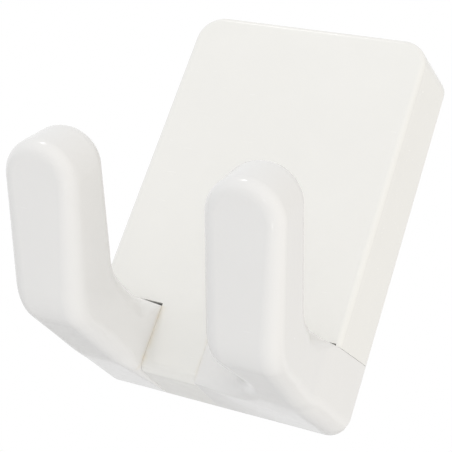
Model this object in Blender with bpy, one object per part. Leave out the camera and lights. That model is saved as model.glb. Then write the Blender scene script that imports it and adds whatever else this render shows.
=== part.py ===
"""Double coat hook: a back plate, two hooks screwed to it from behind, and a cover that slides on over it.

X runs to the right as seen from the front, +Y points into the wall and +Z points up. Heights below are
measured from the bottom edge; the root empty then puts the origin between the two wall screws.
"""
import math

import bpy
import bmesh
from mathutils import Vector

MM = 0.001

# Cover, as it stands on the wall
COVER_WIDTH = 60.0 * MM
COVER_HEIGHT = 90.4 * MM
COVER_DEPTH = 18.8 * MM
COVER_DRAFT = 1.8 * MM
COVER_WALL = 1.8 * MM
CORNER_RADIUS = 4.5 * MM
CORNER_RADIUS_FRONT = 6.2 * MM
TONGUE_WIDTH = 12.2 * MM
TAB_REACH = 3.0 * MM
TAB_LENGTH = 8.0 * MM
TAB_SETBACK = 0.2 * MM
TAB_FOOT_MARGIN = 13.1 * MM
TAB_TOP_MARGIN = 10.4 * MM
SLIDE_TRAVEL = 12.0 * MM

# Hooks
ARM_WIDTH = 15.0 * MM
ARM_BEND_THICKNESS = 17.4 * MM
ARM_TIP_THICKNESS = 15.5 * MM
ARM_MARGIN = 0.6 * MM
ARM_DROP = 1.3 * MM
ARM_SADDLE = 0.5 * MM
ARM_BEND_START = 46.7 * MM
ARM_BEND_DEGREES = 42.5
ARM_OUTER_RADIUS = 12.9 * MM
ARM_INNER_RADIUS = 12.9 * MM
ARM_RISE_LENGTH = 29.7 * MM
ARM_EDGE_RADIUS = 3.7 * MM
ARM_TIP_EDGE = 2.8 * MM
ARM_CROWN = 6.0 * MM
ARM_BLEND = 8.0 * MM
FOOT_HEIGHT = 14.6 * MM
FOOT_RISE = 2.3 * MM
FOOT_LIP = 3.7 * MM
FOOT_CORNER = 4.6 * MM
FOOT_EDGE = 0.6 * MM
FOOT_DROP = 1.0 * MM
FOOT_FRONT_EDGE = 2.0 * MM

# Back plate
PLATE_THICKNESS = 3.0 * MM
PLATE_CORNER = 4.0 * MM
EAR_THICKNESS = 1.3 * MM
EAR_CLEARANCE = 0.5 * MM
EAR_STEP = 0.2 * MM

# Screws
HOOK_SCREW_SHANK = 3.2 * MM
HOOK_SCREW_HEAD = 5.6 * MM
HOOK_SCREW_HEAD_DEPTH = 1.6 * MM
HOOK_SCREW_LENGTH = 13.0 * MM
HOOK_SCREW_EDGE = 3.6 * MM
WALL_SCREW_SHANK = 4.0 * MM
WALL_SCREW_HEAD = 8.0 * MM
WALL_SCREW_HEAD_DEPTH = 2.8 * MM
WALL_SCREW_LENGTH = 32.0 * MM
WALL_SCREW_POINT = 6.0 * MM
WALL_SCREW_FOOT_MARGIN = 13.1 * MM
WALL_SCREW_TOP_MARGIN = 14.0 * MM
WALL_SLOT_TRAVEL = 3.0 * MM

# Clearances
SEAM_GAP = 0.3 * MM
FIT_GAP = 0.3 * MM
FRONT_GAP = 0.6 * MM

# Facets
CORNER_STEPS = 5
ARM_CORNER_STEPS = 6
BEND_STEPS = 6
BLEND_STEPS = 5
TIP_STEPS = 6
ROUND_STEPS = 20
PAST = 5.0 * MM

# Places worked out from the sizes above
HALF_BACK = COVER_WIDTH / 2
HALF_FRONT = HALF_BACK - COVER_DRAFT
TOP_FRONT = COVER_HEIGHT - COVER_DRAFT
ARM_OUTER_X = HALF_FRONT - ARM_MARGIN
ARM_INNER_X = ARM_OUTER_X - ARM_WIDTH
TONGUE_LEFT = SEAM_GAP - ARM_INNER_X
TONGUE_RIGHT = TONGUE_LEFT + TONGUE_WIDTH
RIGHT_FOOT_INNER = TONGUE_RIGHT + SEAM_GAP
FOOT_HEIGHT_BACK = FOOT_HEIGHT + FOOT_RISE
TAB_INNER_X = HALF_BACK - COVER_WALL - TAB_REACH
PLATE_HALF = TAB_INNER_X - FIT_GAP
PLATE_DRAFT = COVER_DRAFT * PLATE_THICKNESS / COVER_DEPTH
PLATE_BOTTOM = FOOT_LIP + FIT_GAP
PLATE_TOP = COVER_HEIGHT - COVER_WALL - PLATE_DRAFT - FIT_GAP
EAR_HALF = HALF_BACK - COVER_WALL - PLATE_DRAFT - EAR_CLEARANCE
EAR_BACK = EAR_THICKNESS - PLATE_THICKNESS
TAB_HEIGHTS = (
    FOOT_HEIGHT_BACK + TAB_FOOT_MARGIN,
    COVER_HEIGHT - CORNER_RADIUS - TAB_TOP_MARGIN - TAB_LENGTH,
)
TONGUE_SLOT_TOP = COVER_WALL + SLIDE_TRAVEL + FIT_GAP
WALL_SCREW_HEIGHTS = {
    "lower": FOOT_HEIGHT_BACK + WALL_SCREW_FOOT_MARGIN + WALL_SCREW_HEAD / 2,
    "upper": PLATE_TOP - WALL_SCREW_TOP_MARGIN - WALL_SCREW_HEAD / 2,
}
ORIGIN_HEIGHT = sum(WALL_SCREW_HEIGHTS.values()) / 2

# Plain colours: red, green, blue, roughness, metallic
COVER_WHITE = (0.87, 0.87, 0.85, 0.28, 0.0)
HOOK_WHITE = (0.84, 0.84, 0.84, 0.22, 0.0)
PLATE_WHITE = (0.80, 0.80, 0.78, 0.45, 0.0)
ZINC = (0.62, 0.63, 0.65, 0.35, 1.0)


def clear_scene():
    for obj in list(bpy.data.objects):
        bpy.data.objects.remove(obj, do_unlink=True)


def material(name, look):
    mat = bpy.data.materials.new(name)
    mat.use_nodes = True
    shader = mat.node_tree.nodes["Principled BSDF"]
    red, green, blue, roughness, metallic = look
    shader.inputs["Base Color"].default_value = (red, green, blue, 1.0)
    shader.inputs["Roughness"].default_value = roughness
    shader.inputs["Metallic"].default_value = metallic
    return mat


def add_object(name, bm, root, look=None):
    """Turn a bmesh into an object under the root; without a look it is a cutter."""
    bmesh.ops.recalc_face_normals(bm, faces=bm.faces)
    mesh = bpy.data.meshes.new(name)
    bm.to_mesh(mesh)
    bm.free()
    obj = bpy.data.objects.new(name, mesh)
    bpy.context.scene.collection.objects.link(obj)
    obj.parent = root
    if look is None:
        obj.hide_render = True
        obj.display_type = "WIRE"
    else:
        mesh.materials.append(material(name + "_finish", look))
        mesh.shade_smooth()
        mesh.set_sharp_from_angle(angle=math.radians(35.0))
    return obj


def loft(rings, folded=False):
    """Skin a list of rings of points; a ring of one point closes the end to a pole.

    When folded, the last ring is already pressed flat and its two halves are joined.
    """
    bm = bmesh.new()
    loops = [[bm.verts.new(point) for point in ring] for ring in rings]
    for lower, upper in zip(loops, loops[1:]):
        count = max(len(lower), len(upper))
        for i in range(count):
            j = (i + 1) % count
            corners = [lower[i % len(lower)], lower[j % len(lower)]]
            corners += [upper[j % len(upper)], upper[i % len(upper)]]
            bm.faces.new(list(dict.fromkeys(corners)))
    for loop in loops[:1] if folded else (loops[0], loops[-1]):
        if len(loop) > 1:
            bm.faces.new(loop)
    if folded:
        bmesh.ops.remove_doubles(bm, verts=loops[-1], dist=FIT_GAP / 100)
    return bm


def boolean(obj, cutter, operation):
    modifier = obj.modifiers.new(operation.lower() + "_" + cutter.name, "BOOLEAN")
    modifier.operation = operation
    modifier.solver = "EXACT"
    modifier.object = cutter


def rounded_outline(left, right, bottom, top, radius):
    """Corner points of a rounded rectangle in X and Z, anticlockwise from the lower right."""
    centres = [
        (right - radius, bottom + radius, -90.0),
        (right - radius, top - radius, 0.0),
        (left + radius, top - radius, 90.0),
        (left + radius, bottom + radius, 180.0),
    ]
    points = []
    for x, z, start in centres:
        for step in range(CORNER_STEPS + 1):
            angle = math.radians(start + 90.0 * step / CORNER_STEPS)
            points.append((x + radius * math.cos(angle), z + radius * math.sin(angle)))
    return points


def drafted_block(inset, front_y, back_y):
    """The cover's outer shape, or its hollow when inset, between two depths."""
    rings = []
    for y in (front_y, back_y):
        share = -y / COVER_DEPTH
        half = HALF_BACK - COVER_DRAFT * share - inset
        top = COVER_HEIGHT - COVER_DRAFT * share - inset
        radius = max(mix(CORNER_RADIUS, CORNER_RADIUS_FRONT, share) - inset, FIT_GAP)
        rings.append([(x, y, z) for x, z in rounded_outline(-half, half, inset, top, radius)])
    return loft(rings)


def prism(outline_yz, left, right):
    return loft([[(x, y, z) for y, z in outline_yz] for x in (left, right)])


def box(low, high):
    outline = [(low[1], low[2]), (high[1], low[2]), (high[1], high[2]), (low[1], high[2])]
    return prism(outline, low[0], high[0])


def turned(profile, x, z):
    """Turn (radius, y) pairs about a line along Y; a radius of zero is a pole."""
    rings = []
    for radius, y in profile:
        if radius == 0:
            rings.append([(x, y, z)])
            continue
        turns = [2 * math.pi * step / ROUND_STEPS for step in range(ROUND_STEPS)]
        rings.append([(x + radius * math.cos(a), y, z + radius * math.sin(a)) for a in turns])
    return loft(rings)


def foot_top(y):
    return FOOT_HEIGHT_BACK + FOOT_RISE * y / COVER_DEPTH


def smooth_step(value):
    value = min(max(value, 0.0), 1.0)
    return value * value * (3.0 - 2.0 * value)


def mix(start, end, share):
    return start + (end - start) * share


def section(side, inner_x, outer_x, under, crown, radii):
    """One ring of an arm: a flat underside with rounded edges and a crowned upper side.

    under and crown are (y, z) points; radii give the inner edge, the outer edge and the crown's
    half width and height.
    """
    under = Vector(under)
    rise = Vector(crown) - under
    height = rise.length
    width = outer_x - inner_x
    inner_edge, outer_edge, crown_half, crown_height = radii
    corners = [
        (outer_edge, outer_edge, width - outer_edge, outer_edge, -90.0),
        (crown_half, crown_height, width - crown_half, height - crown_height, 0.0),
        (crown_half, crown_height, crown_half, height - crown_height, 90.0),
        (inner_edge, inner_edge, inner_edge, inner_edge, 180.0),
    ]
    ring = []
    for radius_x, radius_z, centre_x, centre_z, start in corners:
        for step in range(ARM_CORNER_STEPS + 1):
            angle = math.radians(start + 90.0 * step / ARM_CORNER_STEPS)
            across = centre_x + radius_x * math.cos(angle)
            up = centre_z + radius_z * math.sin(angle)
            y, z = under + rise * (up / height)
            ring.append((side * (inner_x + across), y, z))
    return ring


def arm_rings(side):
    """The foot and arm of one hook, from the wall to the tip; side is -1 on the left and 1 on the right."""
    front = -COVER_DEPTH
    crown_half = ARM_WIDTH / 2 - FIT_GAP / 10
    bend = math.radians(ARM_BEND_DEGREES)
    rings = []
    wall_end = (0.0, HALF_BACK, 0.0, FOOT_EDGE)
    front_end = (front, HALF_FRONT, FOOT_DROP, FOOT_FRONT_EDGE)
    for y, outer_x, drop, edge in (wall_end, front_end):
        radii = (edge, FOOT_CORNER, FOOT_EDGE, FOOT_EDGE)
        rings.append(section(side, ARM_INNER_X, outer_x, (y, -drop), (y, foot_top(y)), radii))
    crown_z = FOOT_HEIGHT - ARM_SADDLE
    for step in range(1, BLEND_STEPS + 1):
        share = step / BLEND_STEPS
        soft = smooth_step(share)
        y = front - ARM_BLEND * share
        outer_x = mix(HALF_FRONT, ARM_OUTER_X, soft)
        radii = (
            mix(FOOT_FRONT_EDGE, ARM_EDGE_RADIUS, soft),
            mix(FOOT_CORNER, ARM_EDGE_RADIUS, soft),
            mix(FOOT_EDGE, crown_half, math.sqrt(share)),
            mix(FOOT_EDGE, ARM_CROWN, soft),
        )
        under = (y, -mix(FOOT_DROP, ARM_DROP, soft))
        crown = (y, mix(FOOT_HEIGHT, crown_z, soft))
        rings.append(section(side, ARM_INNER_X, outer_x, under, crown, radii))
    radii = (ARM_EDGE_RADIUS, ARM_EDGE_RADIUS, crown_half, ARM_CROWN)
    outer_centre = Vector((-ARM_BEND_START, ARM_OUTER_RADIUS - ARM_DROP))
    rise_start = outer_centre - ARM_OUTER_RADIUS * Vector((math.sin(bend), math.cos(bend)))
    crown_start = rise_start + ARM_BEND_THICKNESS * Vector((math.sin(bend), math.cos(bend)))
    crown_corner_y = crown_start.x - (crown_z - crown_start.y) / math.tan(bend)
    inner_y = crown_corner_y + ARM_INNER_RADIUS * math.tan(bend / 2)
    inner_centre = Vector((inner_y, crown_z + ARM_INNER_RADIUS))
    for step in range(BEND_STEPS + 1):
        angle = bend * step / BEND_STEPS
        towards = -Vector((math.sin(angle), math.cos(angle)))
        under = outer_centre + ARM_OUTER_RADIUS * towards
        crown = inner_centre + ARM_INNER_RADIUS * towards
        rings.append(section(side, ARM_INNER_X, ARM_OUTER_X, under, crown, radii))
    along = Vector((-math.cos(bend), math.sin(bend)))
    across = Vector((math.sin(bend), math.cos(bend)))
    tip_base = rise_start + along * (ARM_RISE_LENGTH - ARM_WIDTH / 2)
    radii = (ARM_TIP_EDGE, ARM_TIP_EDGE, crown_half, ARM_CROWN)
    last = section(side, ARM_INNER_X, ARM_OUTER_X, tip_base, tip_base + across * ARM_TIP_THICKNESS, radii)
    return rings + tip_rings(last, side * (ARM_INNER_X + ARM_OUTER_X) / 2, along)


def tip_rings(last, middle, along):
    """Turn the last ring's two halves about its middle until they meet, which gives a half-round tip."""
    rings = []
    for step in range(TIP_STEPS + 1):
        angle = math.radians(90.0 * step / TIP_STEPS)
        ring = []
        for x, y, z in last:
            ahead = along * abs(x - middle) * math.sin(angle)
            ring.append((middle + (x - middle) * math.cos(angle), y + ahead.x, z + ahead.y))
        rings.append(ring)
    return rings


def hook_screw_places():
    """Screw name to its X and height, kept inside the stretch of back plate behind each foot."""
    low = PLATE_BOTTOM + HOOK_SCREW_EDGE
    high = FOOT_HEIGHT - HOOK_SCREW_EDGE / 2
    left_outer = -PLATE_HALF + HOOK_SCREW_EDGE
    left_inner = -ARM_INNER_X - HOOK_SCREW_EDGE
    right_inner = RIGHT_FOOT_INNER + HOOK_SCREW_EDGE
    right_outer = PLATE_HALF - HOOK_SCREW_EDGE
    middle = (low + high) / 2
    return {
        "left_hook_screw_low": (left_outer, low),
        "left_hook_screw_high": (left_inner, high),
        "right_hook_screw_inner": (right_inner, middle),
        "right_hook_screw_outer": (right_outer, middle),
    }


def hook_screw_profile(gap):
    """Countersunk screw along -Y from the wall side; with a gap it is the cutter for its hole."""
    head = HOOK_SCREW_HEAD / 2 + gap
    shank = HOOK_SCREW_SHANK / 2 + gap
    back = PAST if gap else -FIT_GAP
    end = -HOOK_SCREW_LENGTH - gap
    cone_end = -HOOK_SCREW_HEAD_DEPTH - FIT_GAP
    return [(0, back), (head, back), (head, -FIT_GAP * 2), (shank, cone_end), (shank, end + shank), (0, end)]


def wall_screw_profile():
    seat = -PLATE_THICKNESS - FIT_GAP
    head = WALL_SCREW_HEAD / 2
    shank = WALL_SCREW_SHANK / 2
    crown = seat - WALL_SCREW_HEAD_DEPTH
    point = seat + WALL_SCREW_LENGTH
    shoulder = crown + WALL_SCREW_HEAD_DEPTH / 2
    return [
        (0, crown),
        (head - WALL_SCREW_HEAD_DEPTH / 2, crown),
        (head, shoulder),
        (head, seat),
        (shank, seat),
        (shank, point - WALL_SCREW_POINT),
        (0, point),
    ]


def make_hook(name, side, root):
    hook = add_object(name, loft(arm_rings(side), folded=True), root, HOOK_WHITE)
    if side > 0:
        outline = [(-COVER_DEPTH, 0.0), (0.0, 0.0), (0.0, FOOT_HEIGHT_BACK), (-COVER_DEPTH, FOOT_HEIGHT)]
        inner_foot = prism(outline, RIGHT_FOOT_INNER, ARM_INNER_X + FOOT_EDGE * 2)
        boolean(hook, add_object(name + "_inner_foot", inner_foot, root), "UNION")
    pocket_half = PLATE_HALF + FIT_GAP
    low = (-pocket_half, -PLATE_THICKNESS - FIT_GAP, FOOT_LIP)
    high = (pocket_half, PAST, FOOT_HEIGHT_BACK + PAST)
    boolean(hook, add_object(name + "_plate_pocket", box(low, high), root), "DIFFERENCE")
    for screw, (x, z) in hook_screw_places().items():
        if screw.startswith(name):
            bore = turned(hook_screw_profile(FIT_GAP), x, z)
            boolean(hook, add_object(screw + "_bore", bore, root), "DIFFERENCE")


def make_hook_screws(root):
    for name, (x, z) in hook_screw_places().items():
        add_object(name, turned(hook_screw_profile(0.0), x, z), root, ZINC)


def make_wall_screws(root):
    for place, z in WALL_SCREW_HEIGHTS.items():
        add_object("wall_screw_" + place, turned(wall_screw_profile(), 0.0, z), root, ZINC)


def make_back_plate(root):
    outline = rounded_outline(-PLATE_HALF, PLATE_HALF, PLATE_BOTTOM, PLATE_TOP, PLATE_CORNER)
    rings = [[(x, y, z) for x, z in outline] for y in (-PLATE_THICKNESS, 0.0)]
    plate = add_object("back_plate", loft(rings), root, PLATE_WHITE)
    for count, z in enumerate(TAB_HEIGHTS):
        low = (-EAR_HALF, -PLATE_THICKNESS + EAR_STEP, z)
        high = (EAR_HALF, EAR_BACK, z + TAB_LENGTH)
        boolean(plate, add_object(f"plate_ears_{count}", box(low, high), root), "UNION")
    low = (-ARM_INNER_X, -PLATE_THICKNESS - PAST, PLATE_BOTTOM - PAST)
    high = (RIGHT_FOOT_INNER, PAST, TONGUE_SLOT_TOP)
    boolean(plate, add_object("plate_tongue_slot", box(low, high), root), "DIFFERENCE")
    for screw, (x, z) in hook_screw_places().items():
        hole = turned(hook_screw_profile(FIT_GAP), x, z)
        boolean(plate, add_object(screw + "_hole", hole, root), "DIFFERENCE")
    radius = WALL_SCREW_SHANK / 2 + FIT_GAP
    for place, z in WALL_SCREW_HEIGHTS.items():
        slot = WALL_SLOT_TRAVEL if place == "lower" else 0.0
        outline = rounded_outline(-radius - slot, radius + slot, z - radius, z + radius, radius)
        rings = [[(x, y, height) for x, height in outline] for y in (-PLATE_THICKNESS - PAST, PAST)]
        boolean(plate, add_object(f"plate_hole_{place}", loft(rings), root), "DIFFERENCE")


def make_cover(root):
    cover = add_object("front_cover", drafted_block(0.0, -COVER_DEPTH, 0.0), root, COVER_WHITE)
    hollow = drafted_block(COVER_WALL, -COVER_DEPTH + COVER_WALL, PAST)
    boolean(cover, add_object("cover_hollow", hollow, root), "DIFFERENCE")
    wall_back = -COVER_DEPTH + COVER_WALL + FIT_GAP
    outline = [
        (-COVER_DEPTH - PAST, -PAST),
        (PAST, -PAST),
        (PAST, foot_top(PAST) + FIT_GAP),
        (wall_back, foot_top(wall_back) + FIT_GAP),
        (wall_back, FOOT_HEIGHT + FRONT_GAP),
        (-COVER_DEPTH - PAST, FOOT_HEIGHT + FRONT_GAP),
    ]
    reach = HALF_BACK + PAST
    for name, left, right in (("left", -reach, TONGUE_LEFT), ("right", TONGUE_RIGHT, reach)):
        boolean(cover, add_object(f"cover_{name}_notch", prism(outline, left, right), root), "DIFFERENCE")
    for side in (-1, 1):
        for count, z in enumerate(TAB_HEIGHTS):
            ends = sorted((side * TAB_INNER_X, side * (HALF_BACK - COVER_WALL / 2)))
            low = (ends[0], EAR_BACK + FIT_GAP, z)
            high = (ends[1], -TAB_SETBACK, z + TAB_LENGTH)
            name = f"cover_tab_{'left' if side < 0 else 'right'}_{count}"
            boolean(cover, add_object(name, box(low, high), root), "UNION")


def main():
    clear_scene()
    root = bpy.data.objects.new("coat_hook", None)
    root.location = (0.0, 0.0, -ORIGIN_HEIGHT)
    bpy.context.scene.collection.objects.link(root)
    make_back_plate(root)
    make_hook("left_hook", -1, root)
    make_hook("right_hook", 1, root)
    make_hook_screws(root)
    make_wall_screws(root)
    make_cover(root)
    bpy.context.view_layer.update()


main()
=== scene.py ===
"""White double coat hook: its finished pieces, their materials and a studio stage on the packed frame."""
import math
from collections import namedtuple

import bmesh
import bpy
from bpy.props import FloatProperty, FloatVectorProperty, PointerProperty
from mathutils import Matrix, Vector


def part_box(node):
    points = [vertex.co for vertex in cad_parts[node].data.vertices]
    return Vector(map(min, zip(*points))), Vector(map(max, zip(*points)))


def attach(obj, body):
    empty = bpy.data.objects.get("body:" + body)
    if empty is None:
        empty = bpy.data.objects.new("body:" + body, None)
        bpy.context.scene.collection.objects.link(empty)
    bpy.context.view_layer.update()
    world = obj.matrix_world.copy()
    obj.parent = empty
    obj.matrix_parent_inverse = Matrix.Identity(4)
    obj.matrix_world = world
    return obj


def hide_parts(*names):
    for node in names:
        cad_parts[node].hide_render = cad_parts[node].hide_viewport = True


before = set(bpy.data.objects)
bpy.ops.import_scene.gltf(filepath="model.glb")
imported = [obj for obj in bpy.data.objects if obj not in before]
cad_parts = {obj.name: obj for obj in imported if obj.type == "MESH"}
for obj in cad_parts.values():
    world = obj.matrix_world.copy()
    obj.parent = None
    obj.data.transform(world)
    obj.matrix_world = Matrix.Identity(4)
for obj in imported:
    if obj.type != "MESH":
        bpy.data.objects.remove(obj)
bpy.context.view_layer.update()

bl_info = {
    "name": "Double coat hook",
    "version": (1, 0, 0),
    "blender": (4, 5, 0),
    "location": "View3D > Sidebar > Coat hook",
    "description": "Makes the cover, prongs, back plate and screws of a white wall coat hook",
    "category": "Object",
}

# Heights in the sizes below are measured from the cover's bottom edge, which lies here in the frame.
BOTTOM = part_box("front_cover")[0][2]
HOOK_SCREWS = {
    -1: ("left_hook_screw_low", "left_hook_screw_high"),
    1: ("right_hook_screw_inner", "right_hook_screw_outer"),
}

# How finely the round shapes are made.
CORNER_STEPS = 14
SECTION_STEPS = 12
FILLET_STEPS = 8
BLEND_STEPS = 14
FOOT_STEPS = 3
FAN_STEPS = (12, 6, 36)
BEND_STEPS = 20
TIP_STEPS = 16
ROUND_STEPS = 48
EDGE_STEPS = 2
SCREW_SIDES = 32
THREAD_STEPS = 20
RIDGE_SIDES = 4
# How often a place or a turn that is sought is bettered.
SETTLE_STEPS = 8
HALVING_STEPS = 40

# How far a cut goes past what it cuts, and how far two cuts overlap.
PAST = 0.005
CUT_OVERLAP = 0.0001
# Half of the flat that is left along an arm's crown, and the smallest corner inside the cover.
CROWN_FLAT = 0.00003
LEAST_RADIUS = 0.0003
# How near points are merged: in a skin, at a folded tip, after the cuts and after the edges are rounded.
MERGE_REACH = 1e-7
FOLD_REACH = 1e-6
WELD_REACH = 1e-5
SLIVER_REACH = 2e-6
# A mesh with fewer faces has gone wrong.
FEWEST_FACES = 10

# Angles past which an edge is rounded or stays sharp, and the turn over which the wide foot's crease opens.
ROUNDED_ANGLE = math.radians(38.0)
SHARP_ANGLE = math.radians(40.0)
CREASE_TURN = math.radians(60.0)
# How quickly the rounding of an arm's inner and outer upper edges gets wide: less is quicker.
INNER_CROWN_POWER = 0.5
OUTER_CROWN_POWER = 0.6


def length(name, description, default, signed=False):
    """A size in metres, or a place in metres if it is signed."""
    limit = {} if signed else {"min": 0.0}
    return FloatProperty(
        name=name, description=description, default=default, unit="LENGTH", precision=5, **limit)


def colour(name, description, default):
    """A colour without alpha."""
    return FloatVectorProperty(
        name=name, description=description, default=default, subtype="COLOR", size=3, min=0.0, max=1.0)


class CoverSizes(bpy.types.PropertyGroup):
    """Sizes of the box-like front cover."""

    width: length("Width", "Width at the wall", 0.0600)
    height: length("Height", "Height at the wall", 0.0904)
    depth: length("Depth", "How far the front stands off the wall", 0.0188)
    draft: length("Draft", "How far each side leans in from the wall to the front", 0.0018)
    wall: length("Wall", "Thickness of the moulding", 0.0018)
    corner_back: length("Corner at the wall", "Corner radius at the wall", 0.0045)
    corner_front: length("Corner at the front", "Corner radius at the front", 0.0062)
    front_edge: length("Front edge", "Rounding of the edge round the front", 0.0012)
    tongue_edge: length("Tongue edge", "Rounding of the tongue's lower front edge", 0.0024)
    tongue_left: length("Tongue left", "Left edge of the tongue", -0.01258, signed=True)
    tongue_right: length("Tongue right", "Right edge of the tongue", 0.00018, signed=True)
    foot_gap: length("Front gap", "Gap above the feet at the front", 0.0006)
    side_gap: length("Side gap", "Gap above the feet along the two sides", 0.00003)
    gap_reach: length("Front gap reach", "How far out from the middle the front gap goes", 0.0273)
    fit_gap: length("Fit gap", "Gap above the feet behind the front wall", 0.0003)
    tab_inner: length("Tab", "Half the distance between the tabs of the two sides", 0.0252)
    tab_length: length("Tab length", "Length of each tab", 0.0080)
    tab_front: length("Tab front", "Depth of the tabs' front face", 0.0014)
    tab_back: length("Tab back", "Depth of the tabs' back face", 0.0002)
    tab_low: length("Lower tabs", "Height of the lower pair", 0.0300)
    tab_high: length("Upper tabs", "Height of the upper pair", 0.0675)
    edge_break: length("Edge break", "Rounding of the cut edges", 0.00003)


class HookSizes(bpy.types.PropertyGroup):
    """Sizes of the two prongs and their feet."""

    width: length("Arm width", "Width of an arm", 0.0150)
    outer_x: length("Arm side", "Distance of an arm's outer side from the middle", 0.0276)
    bend_thickness: length("Thickness at the bend", "Thickness where an arm turns up", 0.0174)
    tip_thickness: length("Thickness at the tip", "Thickness near the tip", 0.0155)
    drop: length("Drop", "How far an arm hangs below the feet", 0.0013)
    saddle: length("Saddle", "Dip of an arm's upper side below the foot", 0.0005)
    bend_start: length("Reach", "Distance from the wall to the bend", 0.0467)
    bend_angle: FloatProperty(
        name="Bend", description="How far an arm turns up", default=math.radians(42.5), subtype="ANGLE")
    outer_radius: length("Outer bend", "Radius of the bend underneath", 0.0129)
    inner_radius: length("Inner bend", "Radius of the bend above", 0.0129)
    rise: length("Rise", "Length of an arm past the bend", 0.0297)
    edge: length("Arm edge", "Rounding along an arm's underside", 0.0037)
    tip_edge: length("Tip edge", "Rounding of the edge round an arm's tip", 0.0028)
    crown: length("Crown", "Height of the rounding along an arm's upper side", 0.0060)
    blend: length("Blend", "Length over which a foot turns into its arm", 0.0080)
    inner_blend: length("Inner blend", "Length over which an arm's inner upper edge becomes round", 0.0080)
    outer_blend: length("Outer blend", "Length over which an arm's outer upper edge becomes round", 0.0160)
    flare: length("Flare", "How much wider the right arm gets towards its wide foot", 0.0120)
    flare_reach: length("Flare reach", "Length over which the right arm gets wider", 0.0180)
    root_edge: length("Root edge", "Rounding of the right arm's inner lower edge where it gets wider", 0.0068)
    foot_height: length("Foot height", "Height of the feet at the front", 0.0146)
    foot_rise: length("Foot rise", "How much higher the feet are at the wall", 0.0023)
    foot_corner: length("Foot corner", "Rounding of a foot's lower outer edge", 0.0046)
    foot_edge: length("Foot edge", "Rounding of a foot's other edges", 0.00015)
    foot_drop: length("Foot drop", "How far a foot's underside falls towards the front", 0.0010)
    foot_front_edge: length("Foot front edge", "Rounding of a foot's inner lower edge at the front", 0.0020)
    foot_crease: length("Foot crease", "Rounding of the wide foot's lower front edge by the tongue", 0.0008)
    wide_foot_inner: length("Wide foot", "Left edge of the right foot", 0.0002)
    edge_break: length("Edge break", "Rounding of the cut edges", 0.00003)


class PlateSizes(bpy.types.PropertyGroup):
    """Sizes of the back plate."""

    half: length("Half width", "Half the width of the plate", 0.0249)
    bottom: length("Bottom", "Height of the lower edge", 0.0040)
    top: length("Top", "Height of the upper edge", 0.08801)
    thickness: length("Thickness", "Thickness of the plate", 0.0030)
    corner: length("Corner", "Corner radius", 0.0040)
    ear_half: length("Ears", "Half the width over the ears that hold the cover", 0.02741)
    ear_front: length("Ear front", "Depth of the ears' front face", 0.0028)
    ear_back: length("Ear back", "Depth of the ears' back face", 0.0017)
    slot_top: length("Slot top", "Height of the slot for the tongue", 0.0141)
    pocket_low: length("Pocket", "Height at which the feet's pocket for the plate starts", 0.0037)
    edge_break: length("Edge break", "Rounding of the edges", 0.00030)


class ScrewSizes(bpy.types.PropertyGroup):
    """Sizes of the hook screws and the wall screws."""

    hook_head: length("Hook screw head", "Head diameter of a hook screw", 0.0056)
    hook_head_height: length("Hook screw head height", "Height of its countersunk head", 0.0016)
    hook_shank: length("Hook screw shank", "Diameter over the thread of a hook screw", 0.0032)
    hook_length: length("Hook screw length", "Length of a hook screw", 0.0127)
    hook_pitch: length("Hook screw pitch", "Thread pitch of a hook screw", 0.0012)
    wall_head: length("Wall screw head", "Head diameter of a wall screw", 0.0080)
    wall_head_height: length("Wall screw head height", "Height of its domed head", 0.0028)
    wall_shank: length("Wall screw shank", "Diameter over the thread of a wall screw", 0.0040)
    wall_length: length("Wall screw length", "Length of a wall screw below its head", 0.0320)
    wall_point: length("Wall screw point", "Length of a wall screw's point", 0.0060)
    wall_pitch: length("Wall screw pitch", "Thread pitch of a wall screw", 0.0018)
    wall_low: length("Lower wall screw", "Height of the lower wall screw", 0.0340)
    wall_high: length("Upper wall screw", "Height of the upper wall screw", 0.07001)
    slot_travel: length("Slot travel", "How far the lower hole lets its screw move sideways", 0.0030)
    gap: length("Gap", "Clearance round the screws", 0.0003)


class Finishes(bpy.types.PropertyGroup):
    """Colours of the materials."""

    cover: colour("Cover", "White of the cover", (0.87, 0.866, 0.840))
    hook: colour("Prongs", "White of the prongs", (0.845, 0.842, 0.836))
    plate: colour("Back plate", "White of the back plate", (0.80, 0.80, 0.78))
    zinc: colour("Zinc", "Plating on the screws", (0.62, 0.63, 0.65))
    # Brownish grime and painted warm shade along the seams, below the feet's top.
    dirt: colour("Dirt and shade", "Dirt along the seams", (0.80, 0.69, 0.48))
    floor: colour("Floor", "Studio floor", (0.90, 0.90, 0.90))


class StageSettings(bpy.types.PropertyGroup):
    """Camera and light."""

    camera_place: FloatVectorProperty(
        name="Camera", description="Where the camera stands", default=(0.086765, -0.234447, -0.095999),
        subtype="XYZ", unit="LENGTH", size=3)
    camera_turn: FloatVectorProperty(
        name="Camera turn", description="How the camera is turned", subtype="EULER", size=3,
        default=tuple(math.radians(v) for v in (109.80103, -18.07114, 16.55637)))
    camera_lens: FloatProperty(
        name="Lens", description="Focal length on a 36 mm wide frame", default=89.051, unit="CAMERA")
    floor_height: length("Floor", "Height of the floor", -0.40, signed=True)
    sky: FloatProperty(
        name="Room light", description="Strength of the light from all round", default=0.96, min=0.0)


def mix(start, end, share):
    return start + (end - start) * share


def smooth_step(value):
    value = min(max(value, 0.0), 1.0)
    return value * value * (3.0 - 2.0 * value)


def quarter_turns(first, steps):
    """Angles over a quarter turn that starts after a number of whole quarters."""
    return [math.pi / 2 * (first + step / steps) for step in range(steps + 1)]


def rounded_outline(left, right, bottom, top, radius):
    """Points of a rounded rectangle in X and Z and the way each one faces, round from the lower right."""
    centres = [(right - radius, bottom + radius), (right - radius, top - radius)]
    centres += [(left + radius, top - radius), (left + radius, bottom + radius)]
    points = []
    for quarter, centre in enumerate(centres, -1):
        for angle in quarter_turns(quarter, CORNER_STEPS):
            facing = Vector((math.cos(angle), math.sin(angle)))
            points.append((Vector(centre) + radius * facing, facing))
    return points


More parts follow.
